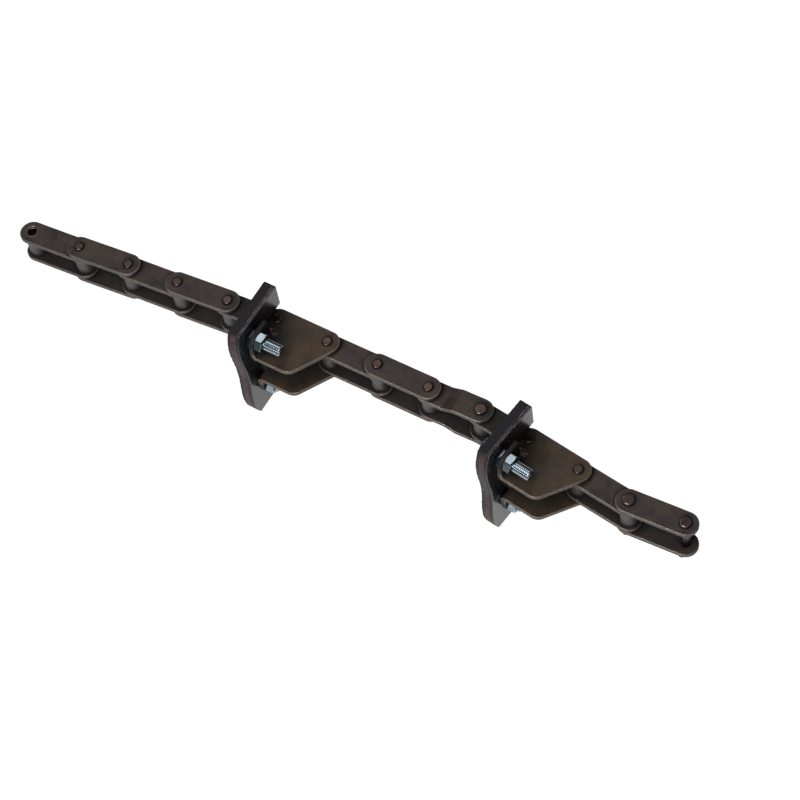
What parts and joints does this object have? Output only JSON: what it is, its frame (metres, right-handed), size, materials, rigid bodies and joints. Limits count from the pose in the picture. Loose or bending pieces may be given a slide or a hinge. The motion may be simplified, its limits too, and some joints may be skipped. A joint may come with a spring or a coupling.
{
  "type": "conveyor chain",
  "caption": "Strand of double-pitch roller chain with rubber paddles bolted to tabs on its attachment plates, a cranked link and a connecting link with split pins.",
  "frame": {"origin": "centre of the free bush at the strand's left end, at the middle of its width", "axes": "+Z along the chain's pins, towards their heads; +X along the strand, towards the connecting link; the paddles reach out towards -Y, and a sprocket comes in from +Y"},
  "size_m": [0.5107, 0.0527, 0.0955],
  "materials": {
    "oiled_plate_steel": "dark heat-treated steel, oiled",
    "bronzed_plate_steel": "dark bronze-brown steel with a little surface rust",
    "bush_steel": "ground steel",
    "roller_steel": "shot-blasted steel, matt",
    "pin_steel": "ground steel, dark and oiled",
    "split_pin_steel": "drawn steel wire",
    "zinc_steel": "bright zinc plating",
    "paddle_rubber": "matt black rubber with fabric plies"
  },
  "bodies": {
    "link_01": {"link_01_inner_plates": "oiled_plate_steel", "link_01_bushes": "bush_steel"},
    "link_02": {"link_02_upper_plate": "oiled_plate_steel", "link_02_lower_plate": "oiled_plate_steel", "link_02_rivet_pins": "pin_steel"},
    "link_03": {"link_03_inner_plates": "oiled_plate_steel", "link_03_bushes": "bush_steel"},
    "link_04": {"link_04_upper_plate": "oiled_plate_steel", "link_04_lower_plate": "oiled_plate_steel", "link_04_rivet_pins": "pin_steel"},
    "link_05": {"link_05_inner_plates": "oiled_plate_steel", "link_05_bushes": "bush_steel"},
    "link_06": {"link_06_upper_attachment_plate": "bronzed_plate_steel", "link_06_lower_attachment_plate": "bronzed_plate_steel", "link_06_rivet_pins": "pin_steel", "link_06_paddle": "paddle_rubber", "link_06_paddle_bolts": "zinc_steel", "link_06_paddle_washers": "zinc_steel", "link_06_jam_nuts": "zinc_steel", "link_06_outer_nuts": "zinc_steel"},
    "link_07": {"link_07_inner_plates": "oiled_plate_steel", "link_07_bushes": "bush_steel"},
    "link_08": {"link_08_upper_plate": "oiled_plate_steel", "link_08_lower_plate": "oiled_plate_steel", "link_08_rivet_pins": "pin_steel"},
    "link_09": {"link_09_upper_cranked_plate": "oiled_plate_steel", "link_09_lower_cranked_plate": "oiled_plate_steel", "link_09_bush": "bush_steel", "link_09_loose_pin": "pin_steel", "link_09_split_pin": "split_pin_steel"},
    "link_10": {"link_10_inner_plates": "oiled_plate_steel", "link_10_bushes": "bush_steel"},
    "link_11": {"link_11_upper_attachment_plate": "bronzed_plate_steel", "link_11_lower_attachment_plate": "bronzed_plate_steel", "link_11_rivet_pins": "pin_steel", "link_11_paddle": "paddle_rubber", "link_11_paddle_bolts": "zinc_steel", "link_11_paddle_washers": "zinc_steel", "link_11_jam_nuts": "zinc_steel", "link_11_outer_nuts": "zinc_steel"},
    "link_12": {"link_12_inner_plates": "oiled_plate_steel", "link_12_bushes": "bush_steel"},
    "link_13": {"link_13_upper_plate": "oiled_plate_steel", "link_13_lower_plate": "oiled_plate_steel", "link_13_loose_pins": "pin_steel", "link_13_split_pins": "split_pin_steel"},
    "roller_01_left": {"link_01_roller_left": "roller_steel"},
    "roller_01_right": {"link_01_roller_right": "roller_steel"},
    "roller_03_left": {"link_03_roller_left": "roller_steel"},
    "roller_03_right": {"link_03_roller_right": "roller_steel"},
    "roller_05_left": {"link_05_roller_left": "roller_steel"},
    "roller_05_right": {"link_05_roller_right": "roller_steel"},
    "roller_07_left": {"link_07_roller_left": "roller_steel"},
    "roller_07_right": {"link_07_roller_right": "roller_steel"},
    "roller_09": {"link_09_roller": "roller_steel"},
    "roller_10_left": {"link_10_roller_left": "roller_steel"},
    "roller_10_right": {"link_10_roller_right": "roller_steel"},
    "roller_12_left": {"link_12_roller_left": "roller_steel"},
    "roller_12_right": {"link_12_roller_right": "roller_steel"}
  },
  "joints": [
    {"name": "pin_01_02", "type": "hinge", "parent": "link_02", "child": "link_01", "pos_m": [0.03801, 0.00266, 0], "axis": [0, 0, 1], "range_deg": [-29, 31]},
    {"name": "pin_02_03", "type": "hinge", "parent": "link_03", "child": "link_02", "pos_m": [0.07596, 0.00598, 0], "axis": [0, 0, 1], "range_deg": [-31, 29]},
    {"name": "pin_03_04", "type": "hinge", "parent": "link_04", "child": "link_03", "pos_m": [0.11397, 0.00864, 0], "axis": [0, 0, 1], "range_deg": [-29.5, 30.5]},
    {"name": "pin_04_05", "type": "hinge", "parent": "link_05", "child": "link_04", "pos_m": [0.15195, 0.01162, 0], "axis": [0, 0, 1], "range_deg": [-30.5, 29.5]},
    {"name": "pin_05_06", "type": "hinge", "parent": "link_06", "child": "link_05", "pos_m": [0.18996, 0.01428, 0], "axis": [0, 0, 1], "range_deg": [-34.5, 13.5]},
    {"name": "pin_06_07", "type": "hinge", "parent": "link_07", "child": "link_06", "pos_m": [0.22806, 0.01395, 0], "axis": [0, 0, 1], "range_deg": [-29.5, 30.5]},
    {"name": "pin_07_08", "type": "hinge", "parent": "link_08", "child": "link_07", "pos_m": [0.26616, 0.01395, 0], "axis": [0, 0, 1], "range_deg": [-30, 30]},
    {"name": "pin_08_09", "type": "hinge", "parent": "link_08", "child": "link_09", "pos_m": [0.30426, 0.01395, 0], "axis": [0, 0, 1], "range_deg": [-31, 29]},
    {"name": "pin_09_10", "type": "hinge", "parent": "link_09", "child": "link_10", "pos_m": [0.34235, 0.01462, 0], "axis": [0, 0, 1], "range_deg": [-22, 38]},
    {"name": "pin_10_11", "type": "hinge", "parent": "link_10", "child": "link_11", "pos_m": [0.38017, 0.00997, 0], "axis": [0, 0, 1], "range_deg": [-17, 31]},
    {"name": "pin_11_12", "type": "hinge", "parent": "link_11", "child": "link_12", "pos_m": [0.4179, 0.00467, 0], "axis": [0, 0, 1], "range_deg": [-30.5, 29.5]},
    {"name": "pin_12_13", "type": "hinge", "parent": "link_12", "child": "link_13", "pos_m": [0.45567, -0.0003, 0], "axis": [0, 0, 1], "range_deg": [-40.5, 19.5]},
    {"name": "roller_01_left_spin", "type": "hinge", "parent": "link_01", "child": "roller_01_left", "pos_m": [0, 0, 0], "axis": [0, 0, 1], "continuous": true},
    {"name": "roller_01_right_spin", "type": "hinge", "parent": "link_01", "child": "roller_01_right", "pos_m": [0.03801, 0.00266, 0], "axis": [0, 0, 1], "continuous": true},
    {"name": "roller_03_left_spin", "type": "hinge", "parent": "link_03", "child": "roller_03_left", "pos_m": [0.07596, 0.00598, 0], "axis": [0, 0, 1], "continuous": true},
    {"name": "roller_03_right_spin", "type": "hinge", "parent": "link_03", "child": "roller_03_right", "pos_m": [0.11397, 0.00864, 0], "axis": [0, 0, 1], "continuous": true},
    {"name": "roller_05_left_spin", "type": "hinge", "parent": "link_05", "child": "roller_05_left", "pos_m": [0.15195, 0.01162, 0], "axis": [0, 0, 1], "continuous": true},
    {"name": "roller_05_right_spin", "type": "hinge", "parent": "link_05", "child": "roller_05_right", "pos_m": [0.18996, 0.01428, 0], "axis": [0, 0, 1], "continuous": true},
    {"name": "roller_07_left_spin", "type": "hinge", "parent": "link_07", "child": "roller_07_left", "pos_m": [0.22806, 0.01395, 0], "axis": [0, 0, 1], "continuous": true},
    {"name": "roller_07_right_spin", "type": "hinge", "parent": "link_07", "child": "roller_07_right", "pos_m": [0.26616, 0.01395, 0], "axis": [0, 0, 1], "continuous": true},
    {"name": "roller_09_spin", "type": "hinge", "parent": "link_09", "child": "roller_09", "pos_m": [0.30426, 0.01395, 0], "axis": [0, 0, 1], "continuous": true},
    {"name": "roller_10_left_spin", "type": "hinge", "parent": "link_10", "child": "roller_10_left", "pos_m": [0.34235, 0.01462, 0], "axis": [0, 0, 1], "continuous": true},
    {"name": "roller_10_right_spin", "type": "hinge", "parent": "link_10", "child": "roller_10_right", "pos_m": [0.38017, 0.00997, 0], "axis": [0, 0, 1], "continuous": true},
    {"name": "roller_12_left_spin", "type": "hinge", "parent": "link_12", "child": "roller_12_left", "pos_m": [0.4179, 0.00467, 0], "axis": [0, 0, 1], "continuous": true},
    {"name": "roller_12_right_spin", "type": "hinge", "parent": "link_12", "child": "roller_12_right", "pos_m": [0.45567, -0.0003, 0], "axis": [0, 0, 1], "continuous": true}
  ]
}
